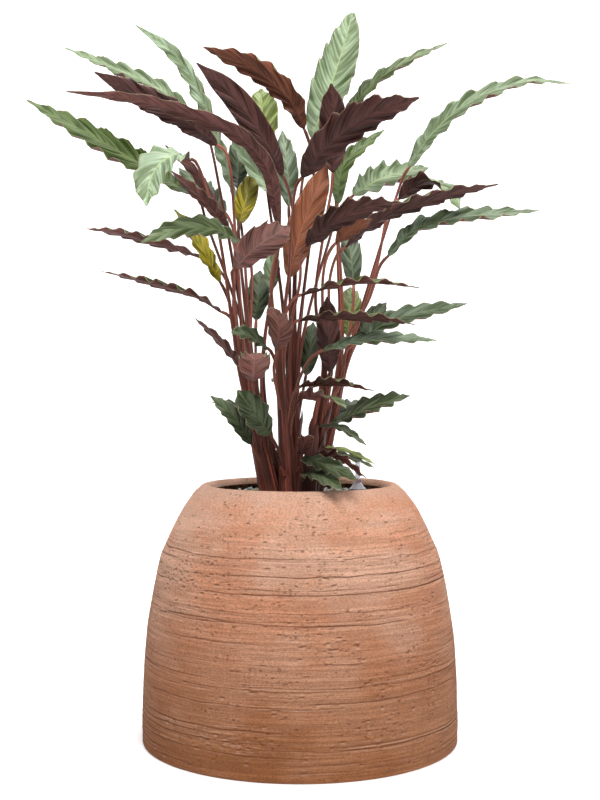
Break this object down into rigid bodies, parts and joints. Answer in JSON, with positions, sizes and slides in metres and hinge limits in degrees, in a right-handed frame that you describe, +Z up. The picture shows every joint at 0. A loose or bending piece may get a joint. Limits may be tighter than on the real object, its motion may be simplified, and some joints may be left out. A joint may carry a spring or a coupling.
{
  "type": "potted prayer plant",
  "caption": "Velvety prayer plant with long waved leaves, green above and maroon below, on red stalks in a belly-shaped clay planter filled with granules, with a water gauge.",
  "frame": {"origin": "centre of the planter's flat underside", "axes": "+Z up the planter, -Y the side that the picture shows, +X to its right"},
  "size_m": [0.7355, 0.4096, 0.9814],
  "materials": {
    "clay": "matte",
    "granules": "matte",
    "stalk": "matte",
    "leaf": "matte",
    "grey_plastic": "satin",
    "clear_plastic": "gloss",
    "red_plastic": "satin"
  },
  "bodies": {
    "planted_pot": {"pot": "clay", "granule_bed": "granules", "gauge_shaft": "grey_plastic", "gauge_tube": "clear_plastic", "shoot_left_front": "stalk", "shoot_left_back": "stalk", "shoot_centre_front": "stalk", "shoot_centre_back": "stalk", "shoot_right_front": "stalk", "shoot_right_back": "stalk", "shoot_low_front": "stalk", "leaf_left_long": "leaf", "leaf_left_slim": "leaf", "leaf_left_dark": "leaf", "leaf_left_arch": "leaf", "leaf_top_left_dark": "leaf", "leaf_top_left_pale": "leaf", "leaf_left_drooping": "leaf", "leaf_left_upright": "leaf", "leaf_left_towards_front": "leaf", "leaf_left_towards_back": "leaf", "leaf_left_level": "leaf", "leaf_front_left": "leaf", "leaf_left_yellow": "leaf", "leaf_left_slender": "leaf", "leaf_left_low_long": "leaf", "leaf_left_low_short": "leaf", "leaf_left_low_dark": "leaf", "leaf_front_low_broad": "leaf", "leaf_front_folded": "leaf", "leaf_front_low_dark": "leaf", "leaf_low_left_dark": "leaf", "leaf_back_left_high": "leaf", "leaf_back_high_pale": "leaf", "leaf_back_mid_olive": "leaf", "leaf_top_brown": "leaf", "leaf_top_pale": "leaf", "leaf_top_front": "leaf", "leaf_top_upright": "leaf", "leaf_centre_copper": "leaf", "leaf_back_centre_high": "leaf", "leaf_front_right": "leaf", "leaf_right_copper": "leaf", "leaf_right_dark_long": "leaf", "leaf_right_curled": "leaf", "leaf_right_long": "leaf", "leaf_right_middle": "leaf", "leaf_back_right_slim": "leaf", "leaf_back_right_high": "leaf", "leaf_right_pale": "leaf", "leaf_back_right_middle": "leaf", "leaf_front_level": "leaf", "leaf_front_level_low": "leaf", "leaf_centre_dark": "leaf", "leaf_back_right_bright": "leaf", "leaf_right_low": "leaf", "leaf_right_low_front": "leaf", "leaf_front_low_right": "leaf", "leaf_right_lowest": "leaf"},
    "gauge_float": {"gauge_float": "red_plastic"}
  },
  "joints": [
    {"name": "float_rise", "type": "slide", "parent": "planted_pot", "child": "gauge_float", "axis": [0, 0, 1], "range_m": [0, 0.024]}
  ]
}
